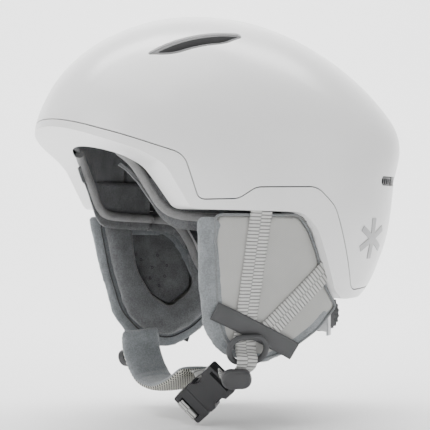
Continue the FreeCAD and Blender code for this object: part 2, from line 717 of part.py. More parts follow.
def pocket(body, sketch, length, both=False, reverse=False):
    before = body.Shape.Volume
    new = body.newObject("PartDesign::Pocket", body.Name + "_pocket")
    new.Profile = sketch
    new.setExpression("Length", length)
    new.Midplane = both
    new.Reversed = reverse
    doc.recompute()
    if body.Shape.Volume > before - 1e-6:
        raise RuntimeError("a pocket in %s cuts nothing" % body.Name)
    return new


def soften(body, radius):
    """Round every straight edge that runs through the body's thickness."""
    block = body.Tip
    edges = ["Edge%d" % (k + 1) for k, edge in enumerate(block.Shape.Edges)
             if abs(edge.tangentAt(edge.FirstParameter).z) > 0.99]
    new = body.newObject("PartDesign::Fillet", body.Name + "_fillet")
    new.Base = (block, edges)
    new.Radius = radius
    doc.recompute()


# ---------------------------------------------------------------- the side-release buckle

female = body_in(buckle_frame, "buckle_female")
sketch = sketch_on(female, "XY_Plane")
rectangle(sketch, "-Sizes.buckle_width / 2", "-Sizes.buckle_length", "Sizes.buckle_width / 2", "0")
pad(female, sketch, "Sizes.buckle_thickness", both=True)
soften(female, 1.8)
sketch = sketch_on(female, "XZ_Plane")
rectangle(sketch, "-Sizes.buckle_width / 2 + Sizes.buckle_wall", "-Sizes.buckle_thickness / 2 + Sizes.buckle_wall",
          "Sizes.buckle_width / 2 - Sizes.buckle_wall", "Sizes.buckle_thickness / 2 - Sizes.buckle_wall")
pocket(female, sketch, "2 * (Sizes.buckle_length - 6.5)", both=True)
sketch = sketch_on(female, "XY_Plane")
rectangle(sketch, "-Sizes.web_width / 2 - 1", "-Sizes.buckle_length + 1.8", "Sizes.web_width / 2 + 1",
          "-Sizes.buckle_length + 4.8")
pocket(female, sketch, "Sizes.buckle_thickness * 2", both=True)
sketch = sketch_on(female, "XY_Plane")
circle(sketch, "Sizes.buckle_width / 2 + 3", "-11.5", "6.5")
circle(sketch, "-Sizes.buckle_width / 2 - 3", "-11.5", "6.5")
pocket(female, sketch, "Sizes.buckle_thickness * 2", both=True)

male = body_in(buckle_frame, "buckle_male")
sketch = sketch_on(male, "XY_Plane")
rectangle(sketch, "-Sizes.buckle_width / 2", "Sizes.buckle_gap", "Sizes.buckle_width / 2", "Sizes.base_length")
pad(male, sketch, "Sizes.buckle_thickness", both=True)
soften(male, 1.8)
sketch = sketch_on(male, "XY_Plane")
rectangle(sketch, "-Sizes.tongue_width / 2", "-Sizes.prong_length", "Sizes.tongue_width / 2",
          "Sizes.base_length / 2")
pad(male, sketch, "Sizes.buckle_thickness - 2 * Sizes.buckle_wall - 2 * Sizes.buckle_gap", both=True)
sketch = sketch_on(male, "XY_Plane")
rectangle(sketch, "-Sizes.web_width / 2 - 1", "Sizes.base_length - 6.2", "Sizes.web_width / 2 + 1",
          "Sizes.base_length - 2.4")
pocket(male, sketch, "Sizes.buckle_thickness * 2", both=True)

for name, sign in (("release_prong_front", ""), ("release_prong_rear", "-")):
    prong = body_in(buckle_frame, name)
    sketch = sketch_on(prong, "XY_Plane")
    far_side = sign + "(Sizes.buckle_width / 2 - Sizes.buckle_wall - Sizes.buckle_gap)"
    near = sign + "(Sizes.buckle_width / 2 - Sizes.buckle_wall - Sizes.buckle_gap - Sizes.prong_width)"
    edges = (near, far_side) if not sign else (far_side, near)
    rectangle(sketch, edges[0], "-Sizes.prong_length", edges[1], "0")
    pad(prong, sketch, "Sizes.buckle_thickness - 2 * Sizes.buckle_wall - 2 * Sizes.buckle_gap", both=True)

# ---------------------------------------------------------------- fit system


def sector(radius_in, radius_out, low, high, start, stop):
    """A curved plate behind the head; angles turn from straight back towards the wearer's left."""
    centre = Vector(0, size("fit_centre"), low)
    wide = Part.makeCylinder(radius_out, high - low, centre, Vector(0, 0, 1), stop - start)
    hollow = Part.makeCylinder(radius_in, high - low, centre, Vector(0, 0, 1), 360)
    plate = wide.cut(hollow)
    plate.rotate(centre, Vector(0, 0, 1), 90 - stop)
    return plate


cradle_out = size("fit_radius") + size("cradle_wall")
half_cradle = size("cradle_height") / 2
dial_z = size("dial_height")
CRADLE_TURN = 48.0
ARM_TURNS = (16.0, 27.0)
ARM_TOP = -22.0
plate = sector(size("fit_radius"), cradle_out, dial_z - half_cradle, dial_z + half_cradle,
               -CRADLE_TURN, CRADLE_TURN)
arm = sector(size("fit_radius"), cradle_out, dial_z + half_cradle - 2, ARM_TOP, ARM_TURNS[0], ARM_TURNS[1])
cradle = plate.fuse([arm, mirrored(arm)]).removeSplitter()
WINDOW = (30.0, 42.0)
window = sector(size("fit_radius") - 1, cradle_out + 1, dial_z - half_cradle + 5, dial_z + half_cradle - 5,
                *WINDOW)
cradle = cradle.cut([window, mirrored(window)])
feature("cradle", cradle)

rack_in = cradle_out + size("fit_gap")
rack_out = rack_in + size("rack_wall")
rack_from = size("pinion_radius") + 0.3
RACK_NEAR = 8.0
RACK_FAR = 72.0
left_rack = sector(rack_in, rack_out, dial_z + rack_from, dial_z + rack_from + size("rack_height"),
                   RACK_NEAR, RACK_FAR)
right_rack = mirrored(sector(rack_in, rack_out, dial_z - rack_from - size("rack_height"), dial_z - rack_from,
                             RACK_NEAR, RACK_FAR))
feature("rack_band_left", left_rack)
feature("rack_band_right", right_rack)

dial_frame = Placement(Matrix(-1, 0, 0, 0, 0, 0, 1, size("fit_centre") + cradle_out + 1.2,
                              0, 1, 0, dial_z, 0, 0, 0, 1))
housing = body_in(dial_frame, "dial_housing")
sketch = sketch_on(housing, "XY_Plane")
circle(sketch, "0", "0", "Sizes.housing_radius")
pad(housing, sketch, "Sizes.housing_depth")
sketch = sketch_on(housing, "XY_Plane")
circle(sketch, "0", "0", "Sizes.housing_radius - Sizes.housing_wall")
pocket(housing, sketch, "Sizes.housing_depth - Sizes.housing_wall", reverse=True)
sketch = sketch_on(housing, "XY_Plane")
circle(sketch, "0", "0", "3.1")
pocket(housing, sketch, "Sizes.housing_depth * 2", both=True)

pinion = body_in(dial_frame, "dial_pinion")
sketch = sketch_on(pinion, "XY_Plane")
circle(sketch, "0", "0", "Sizes.pinion_radius")
pad(pinion, sketch, "3.2")

knob_low = size("housing_depth") + 0.4
knob_frame = dial_frame.multiply(Placement(Vector(0, 0, 3.2), Rotation()))
knob = body_in(knob_frame, "dial_knob")
sketch = sketch_on(knob, "XY_Plane")
circle(sketch, "0", "0", "2.7")
pad(knob, sketch, "Sizes.housing_depth + 0.4 - 3.2 + Sizes.knob_depth")
disc = body_in(dial_frame.multiply(Placement(Vector(0, 0, knob_low), Rotation())), "dial_grip")
sketch = sketch_on(disc, "XY_Plane")
circle(sketch, "0", "0", "Sizes.dial_radius")
pad(disc, sketch, "Sizes.knob_depth")
sketch = sketch_on(disc, "XY_Plane")
circle(sketch, "0", "0", "2.7 + 0.02")
pocket(disc, sketch, "Sizes.knob_depth * 3", both=True)
sketch = sketch_on(disc, "XY_Plane")
circle(sketch, "Sizes.dial_radius + 0.9", "0", "1.9")
notch = pocket(disc, sketch, "Sizes.knob_depth * 3", both=True)
pattern = disc.newObject("PartDesign::PolarPattern", "grip_notches")
pattern.Originals = [notch]
pattern.Axis = (sketch, ["N_Axis"])
pattern.Angle = 360
pattern.Occurrences = 18
disc.Tip = pattern
doc.recompute()

# ---------------------------------------------------------------- goggle strap clip

CLIP_AXIS_Z = 8.0
shell_back = size("back_reach") * hermite(OUTER["back"][2], CLIP_AXIS_Z)
clip_y = shell_back + size("clip_gap") + 1.3
pin_radius = size("clip_pin_radius")
barrel_radius = pin_radius + 1.5
half_clip = size("clip_width") / 2
ear = 3.0
skin = shell_dome(-0.05)


def rod(radius, low, high):
    return Part.makeCylinder(radius, high - low, Vector(low, clip_y, CLIP_AXIS_Z), Vector(1, 0, 0))


base_half = half_clip - ear - 0.3
base = rod(barrel_radius, -base_half, base_half)
BASE_ROOT = 100.0           # inside the shell's back, so the base reaches the skin everywhere
block = box((-base_half, BASE_ROOT, CLIP_AXIS_Z - barrel_radius), (base_half, clip_y, CLIP_AXIS_Z + barrel_radius))
base = base.fuse(block)
base = base.cut(skin).cut(rod(pin_radius + 0.05, -half_clip, half_clip)).removeSplitter()
feature("goggle_clip_base", base)
feature("goggle_clip_pin", rod(pin_radius, -half_clip - 0.8, half_clip + 0.8))

clip_top = CLIP_AXIS_Z - barrel_radius - 0.5
clip_low = clip_top - size("clip_length")
half_thick = size("clip_thickness") / 2
plate = box((-half_clip, clip_y - half_thick, clip_low), (half_clip, clip_y + half_thick, clip_top))
plate = plate.makeFillet(3.0, [e for e in plate.Edges if e.BoundBox.YLength > half_thick and
                               abs(e.CenterOfMass.z - clip_low) < 1e-6 and e.BoundBox.XLength < 1e-6])
for low, high in ((-half_clip, -half_clip + ear), (half_clip - ear, half_clip)):
    lug = box((low, clip_y - half_thick, clip_top - 2), (high, clip_y + half_thick, CLIP_AXIS_Z))
    plate = plate.fuse([lug, rod(barrel_radius, low, high)])
plate = plate.cut(rod(pin_radius + 0.05, -FAR, FAR)).removeSplitter()
feature("goggle_clip", plate)
catch = box((-6, 90, clip_low + 2), (6, clip_y - half_thick - 0.3, clip_low + 7)).cut(skin)
feature("goggle_clip_catch", catch)

# ---------------------------------------------------------------- export

doc.recompute()
os.makedirs("parts", exist_ok=True)
for obj in doc.Objects:
    if "Invalid" in obj.State or "Error" in obj.State:
        raise RuntimeError("%s is in state %s" % (obj.Name, obj.State))
for obj in parts:
    shape = obj.Shape
    if shape.isNull() or not shape.isValid():
        raise RuntimeError(obj.Label + " has no valid shape")
    if not shape.Solids:
        raise RuntimeError(obj.Label + " holds no solid")
for obj in parts:
    shape = obj.Shape
    shape.exportStep("parts/%s.step" % obj.Label)
    print("%-22s %8.1f cm3  %d solid(s)" % (obj.Label, shape.Volume / 1000, len(shape.Solids)))
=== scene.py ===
# %% [markdown]
# # A ski helmet, dressed around its engineering model
# The hard pieces come ready made from the fixed frame: shells, liner, buckle, dial and clip.
# This lesson adds what a frame can't carry: stuffed ear pads, fleece, webbing, a chin sleeve,
# stitching, and the finish of every surface.  Lengths are in metres, +Z is up, the face looks along -Y.

import json
import math

import bmesh
import bpy
import numpy as np
from mathutils import Matrix, Vector


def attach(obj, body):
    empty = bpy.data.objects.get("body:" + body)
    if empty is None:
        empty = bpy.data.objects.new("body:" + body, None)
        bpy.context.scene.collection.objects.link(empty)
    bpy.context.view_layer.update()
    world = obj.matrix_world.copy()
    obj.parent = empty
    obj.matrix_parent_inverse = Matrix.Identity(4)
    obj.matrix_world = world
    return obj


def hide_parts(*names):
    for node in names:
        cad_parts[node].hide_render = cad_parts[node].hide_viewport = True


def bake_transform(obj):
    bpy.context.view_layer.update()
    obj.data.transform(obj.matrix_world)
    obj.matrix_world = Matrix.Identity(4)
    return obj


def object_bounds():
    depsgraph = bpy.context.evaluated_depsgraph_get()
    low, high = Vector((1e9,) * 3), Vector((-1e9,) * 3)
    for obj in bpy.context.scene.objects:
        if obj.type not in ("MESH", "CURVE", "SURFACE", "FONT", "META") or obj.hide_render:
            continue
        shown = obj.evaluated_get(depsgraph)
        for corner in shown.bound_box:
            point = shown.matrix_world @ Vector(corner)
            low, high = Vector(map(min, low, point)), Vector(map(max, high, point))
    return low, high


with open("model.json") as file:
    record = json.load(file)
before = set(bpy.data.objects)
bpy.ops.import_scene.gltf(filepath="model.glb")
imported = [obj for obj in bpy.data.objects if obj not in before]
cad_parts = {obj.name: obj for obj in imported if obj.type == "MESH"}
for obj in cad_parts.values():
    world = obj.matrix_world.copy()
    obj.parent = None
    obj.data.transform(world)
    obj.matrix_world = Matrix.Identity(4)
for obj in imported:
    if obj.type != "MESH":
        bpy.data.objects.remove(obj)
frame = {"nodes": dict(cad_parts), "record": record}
cad_box = [list(corner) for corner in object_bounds()]
print("frame box", cad_box)
MM = 0.001
SIDES = (("left", 1), ("right", -1))

# %% [markdown]
# ## Shader maths as plain expressions
# A material is a small program.  Wrapping each socket in a class that knows +, - and * lets the
# recipes below read like formulas, while Blender still sees ordinary Math nodes.


# %% A socket that can be used in sums
class Wire:
    def __init__(self, recipe, socket):
        self.recipe = recipe
        self.socket = socket

    def maths(self, operation, *others):
        sockets = {0: self, **dict(enumerate(others, start=1))}
        return self.recipe.node("Math", {"operation": operation}, sockets)[0]

    def __add__(self, other):
        return self.maths("ADD", other)

    def __mul__(self, other):
        return self.maths("MULTIPLY", other)

    def __sub__(self, other):
        return self.maths("SUBTRACT", other)

    def __rsub__(self, other):
        return self.recipe.node("Math", {"operation": "SUBTRACT"}, {0: other, 1: self})[0]

    __radd__ = __add__
    __rmul__ = __mul__

    def sin(self):
        return self.maths("SINE")

    def size(self):
        return self.maths("ABSOLUTE")

    def above(self, edge, soft):
        """0 below the edge, 1 above it, with a soft step between."""
        settings = {"interpolation_type": "SMOOTHSTEP"}
        ends = {0: self, 1: edge - soft, 2: edge + soft, 3: 0.0, 4: 1.0}
        return self.recipe.node("MapRange", settings, ends)[0]


class Made:
    def __init__(self, recipe, node):
        self.recipe = recipe
        self.made = node

    def __getitem__(self, key):
        return Wire(self.recipe, self.made.outputs[key])


class Recipe:
    """One material's node tree, with its shader ready to feed."""

    def __init__(self, name, colour, roughness, **fixed):
        self.material = bpy.data.materials.new(name)
        self.material.use_nodes = True
        self.tree = self.material.node_tree
        self.shader = self.tree.nodes["Principled BSDF"]
        self.shader.inputs["Base Color"].default_value = (*colour, 1.0)
        self.shader.inputs["Roughness"].default_value = roughness
        for socket, value in fixed.items():
            self.shader.inputs[socket.replace("_", " ")].default_value = value

    def node(self, kind, settings=None, sockets=None):
        made = self.tree.nodes.new("ShaderNode" + kind)
        for key, value in (settings or {}).items():
            setattr(made, key, value)
        for key, value in (sockets or {}).items():
            if isinstance(value, Wire):
                self.tree.links.new(value.socket, made.inputs[key])
            else:
                made.inputs[key].default_value = value
        return Made(self, made)

    def place(self):
        return self.node("TexCoord")["Object"]

    def axis(self, letter):
        return self.node("SeparateXYZ", {}, {0: self.place()})[letter]

    def noise(self, scale, detail=3.0, roughness=0.55):
        return self.node("TexNoise", {}, {"Vector": self.place(), "Scale": scale, "Detail": detail,
                                          "Roughness": roughness})[0]

    def attribute(self, name):
        return self.node("Attribute", {"attribute_name": name})["Fac"]

    def blend(self, mask, dark, light):
        made = self.node("Mix", {"data_type": "RGBA"}, {0: mask, 6: (*dark, 1.0), 7: (*light, 1.0)})
        return made[2]

    def feed(self, **wires):
        for socket, wire in wires.items():
            self.tree.links.new(wire.socket, self.shader.inputs[socket.replace("_", " ")])

    def bump(self, height, distance, strength=1.0):
        made = self.node("Bump", {}, {"Height": height, "Distance": distance, "Strength": strength})
        self.feed(Normal=made["Normal"])


# %% [markdown]
# ## Hard finishes
# The shell is a thin polycarbonate skin with a satin white coat: nearly flat colour, a very fine
# ripple in the gloss.  Moulded trims are dark nylon with the fine grain of the mould.


# %% Shell, foam and moulded trims
def satin_shell():
    r = Recipe("satin white shell", (0.8, 0.8, 0.8), 0.3, Coat_Weight=0.25, Coat_Roughness=0.16)
    cloud = r.noise(18.0, 2.0)
    r.feed(Base_Color=r.blend(cloud, (0.775, 0.775, 0.77), (0.825, 0.825, 0.825)))
    r.feed(Roughness=r.noise(240.0, 2.0) * 0.08 + 0.27)
    r.bump(r.noise(520.0, 1.0), 0.00002)
    return r.material


def bead_foam():
    r = Recipe("bead foam", (0.05, 0.05, 0.052), 0.8)
    beads = r.node("TexVoronoi", {"feature": "F1"}, {"Vector": r.place(), "Scale": 320.0})["Distance"]
    r.feed(Base_Color=r.blend(beads, (0.075, 0.075, 0.078), (0.03, 0.03, 0.032)))
    r.bump(1.0 - beads, 0.0004)
    return r.material


def moulded(name, colour, roughness, grain=900.0, depth=0.00004):
    r = Recipe(name, colour, roughness)
    dark = tuple(c * 0.8 for c in colour)
    light = tuple(c * 1.25 for c in colour)
    r.feed(Base_Color=r.blend(r.noise(60.0, 4.0), dark, light))
    r.feed(Roughness=r.noise(150.0, 2.0) * 0.16 + (roughness - 0.08))
    r.bump(r.noise(grain, 2.0), depth)
    return r.material


def brushed_pin():
    r = Recipe("brushed steel pin", (0.6, 0.6, 0.6), 0.3, Metallic=1.0)
    lines = (r.axis("Y") * 9000.0).sin() * 0.05 + 0.3
    r.feed(Roughness=lines)
    return r.material


# %% [markdown]
# ## Cloth finishes
# Fleece is short fibre standing off a knitted base, so it is matt, mottled at two scales and bright at
# its rim, which the sheen gives.  The outer cover is a plain weave: two crossed sine waves.
# Webbing has cross ribs; its mesh carries how far along and across the strap each point is, so the ribs
# follow the strap however it twists.


# %% Fleece, weave, webbing and spacer mesh
def fleece(name, colour, contrast=0.35, grain=900.0):
    r = Recipe(name, colour, 0.95, Sheen_Weight=0.35, Sheen_Roughness=0.5)
    fibre = r.noise(grain, 4.0, 0.7)
    patch = r.noise(95.0, 3.0)
    mask = (fibre * 0.65 + patch * 0.35).above(0.5, 0.16)
    dark = tuple(c * (1 - contrast) for c in colour)
    light = tuple(c * (1 + contrast) for c in colour)
    r.feed(Base_Color=r.blend(mask, dark, light))
    r.bump(fibre * 0.7 + patch * 0.3, 0.0009)
    return r.material


def plain_weave(name, colour):
    r = Recipe(name, colour, 0.85, Sheen_Weight=0.15, Sheen_Roughness=0.5)
    pitch = 2 * math.pi / 0.0011
    along = (r.axis("Y") * pitch).sin()
    up = (r.axis("Z") * pitch).sin()
    threads = along * up * 0.5 + 0.5
    slub = r.noise(70.0, 5.0)
    mask = threads * 0.4 + slub * 0.6
    r.feed(Base_Color=r.blend(mask, tuple(c * 0.86 for c in colour), tuple(c * 1.12 for c in colour)))
    r.bump(threads * 0.6 + slub * 0.8, 0.00035)
    return r.material


def ribbed_webbing(name, colour, rib=0.0024):
    r = Recipe(name, colour, 0.72, Sheen_Weight=0.1, Sheen_Roughness=0.4)
    along = r.attribute("along")
    across = r.attribute("across")
    half_step = across.above(0.0, 0.02) * math.pi
    ribs = (along * (2 * math.pi / rib) + half_step).sin() * 0.5 + 0.5
    fine = (across * 95.0).sin() * 0.5 + 0.5
    gaps = ribs.above(0.22, 0.16)
    middle = across.size().above(0.05, 0.03)
    tone = gaps * 0.75 + fine * 0.1 + r.noise(500.0, 3.0) * 0.15
    r.feed(Base_Color=r.blend(tone * (middle * 0.35 + 0.65), tuple(c * 0.22 for c in colour), colour))
    r.bump(gaps * 0.8 + fine * 0.2, 0.0005)
    return r.material


def spacer_mesh(name, colour, hole=0.0032):
    """Open 3-D mesh: round holes in a staggered grid, dark where they go through."""
    r = Recipe(name, colour, 0.8, Sheen_Weight=0.2, Sheen_Roughness=0.5)
    along = r.attribute("along") * (2 * math.pi / hole)
    across = r.attribute("across_m") * (2 * math.pi / hole)
    cells = (along * 0.5 + across * 0.866).sin() * (along * 0.5 - across * 0.866).sin()
    holes = cells.size().above(0.42, 0.14)
    thread = r.noise(1500.0, 2.0)
    r.feed(Base_Color=r.blend(holes, tuple(c * 1.1 for c in colour), (0.035, 0.035, 0.033)))
    r.bump(1.0 - holes + thread * 0.25, 0.0009)
    return r.material


# %% Every finish, by the record's slot
FINISHES = {
    "shell_white": satin_shell(),
    "foam": bead_foam(),
    "dark_plastic": moulded("dark moulded nylon", (0.035, 0.035, 0.037), 0.45),
    "vent_grey": moulded("vent tray nylon", (0.05, 0.05, 0.052), 0.5),
    "emblem_grey": moulded("emblem satin grey", (0.40, 0.40, 0.405), 0.35, depth=0.00001),
    "rubber_black": moulded("moulded rubber", (0.045, 0.046, 0.048), 0.55),
    "buckle_black": moulded("buckle acetal", (0.022, 0.022, 0.024), 0.32),
    "cradle_grey": moulded("cradle nylon", (0.42, 0.43, 0.44), 0.4),
    "steel": brushed_pin(),
    "fleece_dark": fleece("lining textile", (0.105, 0.108, 0.112), 0.42, 1100.0),
    "fleece_light": fleece("ear pad fleece", (0.20, 0.215, 0.225), 0.25),
    "woven_cover": plain_weave("woven ear cover", (0.40, 0.40, 0.385)),
    "webbing": ribbed_webbing("ribbed webbing", (0.62, 0.62, 0.60)),
    "chin_mesh": spacer_mesh("spacer mesh", (0.50, 0.49, 0.43)),
}
for entry in frame["record"]["subparts"]:
    node = frame["nodes"][entry["node"]]
    node.data.materials.clear()
    node.data.materials.append(FINISHES[entry["material_slot"]])
    for polygon in node.data.polygons:
        polygon.use_smooth = True
print(len(FINISHES), "finishes on", len(frame["nodes"]), "nodes")

# %% [markdown]
# ## Camera, light and floor first
# A long lens one metre away, level with the rim, three quarters from the front on the wearer's left.
# A pale sweep stands behind and below, and three large soft lamps keep the white shell readable.

# %% Camera and stage
AZIMUTH = math.radians(61.0)
DISTANCE = 1.0
EYE_HEIGHT = -0.004
AIM_SHIFT = 0.00504
back = Vector((math.sin(AZIMUTH), -math.cos(AZIMUTH), 0))
right = Vector((math.cos(AZIMUTH), math.sin(AZIMUTH), 0))
lens = bpy.data.cameras.new("camera")
lens.lens = 116.3
lens.sensor_width = 36.0
camera = bpy.data.objects.new("camera", lens)
bpy.context.collection.objects.link(camera)
turn = Matrix((right, Vector((0, 0, 1)), back)).transposed().to_4x4()
eye = back * DISTANCE - right * AIM_SHIFT + Vector((0, 0, EYE_HEIGHT))
camera.matrix_world = Matrix.Translation(eye) @ turn
bpy.context.scene.camera = camera


def mesh_piece(name, points, faces, material, smooth=True):
    mesh = bpy.data.meshes.new(name)
    mesh.from_pydata([tuple(p) for p in points], [], faces)
    mesh.update()
    mesh.materials.append(material)
    for polygon in mesh.polygons:
        polygon.use_smooth = smooth
    piece = bpy.data.objects.new(name, mesh)
    bpy.context.collection.objects.link(piece)
    return piece


def numbers(piece, name, values):
    """A number for each point of a mesh, for its material to read."""
    layer = piece.data.attributes.new(name, "FLOAT", "POINT")
    layer.data.foreach_set("value", np.asarray(values, np.float32))


FLOOR_GAP = 0.002
floor_height = cad_box[0][2] - FLOOR_GAP
SWEEP_HALF = 3.0
SWEEP_RADIUS = 0.8
profile = [(2.2, 0.0), (-0.9, 0.0)]
profile += [(-0.9 - SWEEP_RADIUS * math.sin(a), SWEEP_RADIUS * (1 - math.cos(a)))
            for a in np.linspace(0.1, math.pi / 2, 12)]
profile += [(-0.9 - SWEEP_RADIUS, 3.0)]
points = []
for reach, height in profile:
    for side in (-SWEEP_HALF, SWEEP_HALF):
        spot = back * reach + right * side
        points.append((spot.x, spot.y, floor_height + height))
faces = [(2 * k, 2 * k + 1, 2 * k + 3, 2 * k + 2) for k in range(len(profile) - 1)]
paper = Recipe("studio paper", (0.93, 0.93, 0.93), 0.95)
paper.feed(Base_Color=paper.blend(paper.noise(6.0), (0.92, 0.92, 0.92), (0.94, 0.94, 0.94)))
floor = mesh_piece("studio_floor", points, faces, paper.material)


def lamp(name, place, power, width, height, aim=(0, 0, 0)):
    light = bpy.data.lights.new(name, "AREA")
    light.shape = "RECTANGLE"
    light.size = width
    light.size_y = height
    light.energy = power
    item = bpy.data.objects.new(name, light)
    bpy.context.collection.objects.link(item)
    item.location = place
    item.rotation_euler = (Vector(aim) - Vector(place)).to_track_quat("-Z", "Y").to_euler()


lamp("top_softbox", tuple(back * 0.3 - right * 0.3 + Vector((0, 0, 1.5))), 23.0, 1.4, 1.4)
lamp("left_softbox", tuple(back * 1.0 - right * 1.3 + Vector((0, 0, 0.5))), 12.5, 0.9, 1.2)
lamp("right_softbox", tuple(back * 0.7 + right * 1.4 + Vector((0, 0, 0.3))), 6.0, 0.9, 1.2)
lamp("backdrop_wash", tuple(back * -0.5 + Vector((0, 0, 1.6))), 85.0, 2.5, 0.8, tuple(back * -1.8))
world = bpy.data.worlds.new("studio")
world.use_nodes = True
world.node_tree.nodes["Background"].inputs["Color"].default_value = (1.0, 1.0, 1.0, 1.0)
world.node_tree.nodes["Background"].inputs["Strength"].default_value = 0.42
bpy.context.scene.world = world

# %% [markdown]
# ## The ear pad's form
# The ear pad lies on a gently curved cheek: wide above, leaning in towards the jaw.  One function turns
# (fore-aft, height, offset) into a point, so every layer of the pad, every strap and every stitch uses
# the same surface.

# %% The cheek surface, outlines and stuffed forms
CHEEK_WIDTH = 101.0
CHEEK_TAPER = 0.28
CHEEK_CENTRE = 5.0
CHEEK_REACH = 165.0


def cheek(y, z, offset, sign=1):
    """A point over the ear pad's outer face, from millimetres to metres."""
    width = CHEEK_WIDTH + CHEEK_TAPER * z + offset
    share = 1 - ((y - CHEEK_CENTRE) / (CHEEK_REACH + offset)) ** 2
    return (sign * width * math.sqrt(max(share, 0.0)) * MM, y * MM, z * MM)


def smooth_line(points, count):
    """A smooth line through points, as an even Catmull-Rom curve."""
    points = np.asarray(points, float)
    padded = np.vstack([2 * points[0] - points[1], points, 2 * points[-1] - points[-2]])
    spans = len(points) - 1
    out = []
    for u in np.linspace(0, spans, count):
        k = min(int(u), spans - 1)
        t = u - k
        a, b, c, d = padded[k:k + 4]
        out.append(0.5 * (2 * b + (c - a) * t + (2 * a - 5 * b + 4 * c - d) * t**2
                          + (3 * b - a - 3 * c + d) * t**3))
    return np.array(out)


def rounded(corners, radii, step=1.5):
    """A closed outline with each corner turned by an arc, as evenly spaced points."""
    path = []
    count = len(corners)
    for k in range(count):
        here = Vector(corners[k])
        before = Vector(corners[k - 1])
        after = Vector(corners[(k + 1) % count])
        towards = (before - here).normalized()
        away = (after - here).normalized()
        half = max(towards.angle(away) / 2, 0.05)
        reach = min(radii[k] / math.tan(half), 0.48 * (before - here).length, 0.48 * (after - here).length)
        first = here + towards * reach
        last = here + away * reach
        for t in np.linspace(0, 1, 9):
            path.append(first.lerp(here, t).lerp(here.lerp(last, t), t))
    closed = path + [path[0]]
    lengths = np.cumsum([0] + [(closed[k + 1] - closed[k]).length for k in range(len(path))])
    total = lengths[-1]
    marks = np.linspace(0, total, int(total / step), endpoint=False)
    ys = np.interp(marks, lengths, [p.x for p in closed])
    zs = np.interp(marks, lengths, [p.y for p in closed])
    return np.stack([ys, zs], 1)


def by_angle(outline, centre, count):
    """The outline's points met by evenly turned rays from a centre inside it."""
    rel = outline - np.array(centre)
    angles = np.unwrap(np.arctan2(rel[:, 1], rel[:, 0]))
    if angles[-1] < angles[0]:
        angles, rel = angles[::-1], rel[::-1]
    want = np.linspace(angles[0], angles[0] + 2 * math.pi, count, endpoint=False)
    angles = np.append(angles, angles[0] + 2 * math.pi)
    rel = np.vstack([rel, rel[:1]])
    met = np.stack([np.interp(want, angles, rel[:, 0]), np.interp(want, angles, rel[:, 1])], 1)
    return met + np.array(centre)


def start_angle(points, centre):
    rel = points - np.array(centre)
    first = int(np.argmin(np.abs(np.arctan2(rel[:, 1], rel[:, 0]))))
    return np.roll(points, -first, axis=0)


def stuffed(name, outer, inner, top, low, bulge_top, bulge_low, sign, material, rings=12):
    """A cushion between two loops on the cheek: rounded at both loops, crowned between them.
    With inner a single point it is a filled pad; with inner a loop it is a ring-shaped roll."""
    count = len(outer)
    inner = np.broadcast_to(np.asarray(inner, float), outer.shape)
    filled = np.ptp(inner[:, 0]) < 1e-9
    points = []
    for face in (0, 1):
        for j in range(rings + 1):
            t = j / rings
            edge = t if filled else min(t, 1 - t)
            lift = math.sqrt(max(0.0, 1 - (1 - min(1.0, edge * 5.0)) ** 2))
            crown = math.sin(min(1.0, edge * (1.0 if filled else 2.0)) * math.pi / 2)
            middle = (top + low) / 2
            if face == 0:
                offset = middle + (top - middle) * lift + bulge_top * crown
            else:
                offset = middle + (low - middle) * lift - bulge_low * crown
            ring = outer * (1 - t) + inner * t
            points += [cheek(y, z, offset, sign) for y, z in ring]
    faces = []
    for face in (0, 1):
        base = face * (rings + 1) * count
        for j in range(rings):
            for k in range(count):
                n = (k + 1) % count
                quad = (base + j * count + k, base + j * count + n,
                        base + (j + 1) * count + n, base + (j + 1) * count + k)
                faces.append(quad if face == 0 else quad[::-1])
    piece = mesh_piece(name, points, faces, material)
    weld(piece, 0.00002)
    return piece


def weld(piece, distance):
    work = bmesh.new()
    work.from_mesh(piece.data)
    bmesh.ops.remove_doubles(work, verts=work.verts, dist=distance)
    bmesh.ops.recalc_face_normals(work, faces=work.faces)
    work.to_mesh(piece.data)
    work.free()


# %% [markdown]
# ## Swelling a cushion
# A sewn cushion is held out by what is inside it.  The simulation starts from an even mesh drawn in a
# little, fills it with air for a few frames, and keeps each point's move up to a cap, so that the pad
# stays within its place.  Seams and piping are laid on afterwards, because remeshing would lose them.


# %% Cloth with air inside
CLOTH_PRESSURE = 4.0
CLOTH_FRAMES = 20
CLOTH_QUALITY = 5
SLACK = 0.6                 # how far the start is drawn in, as a share of the cap


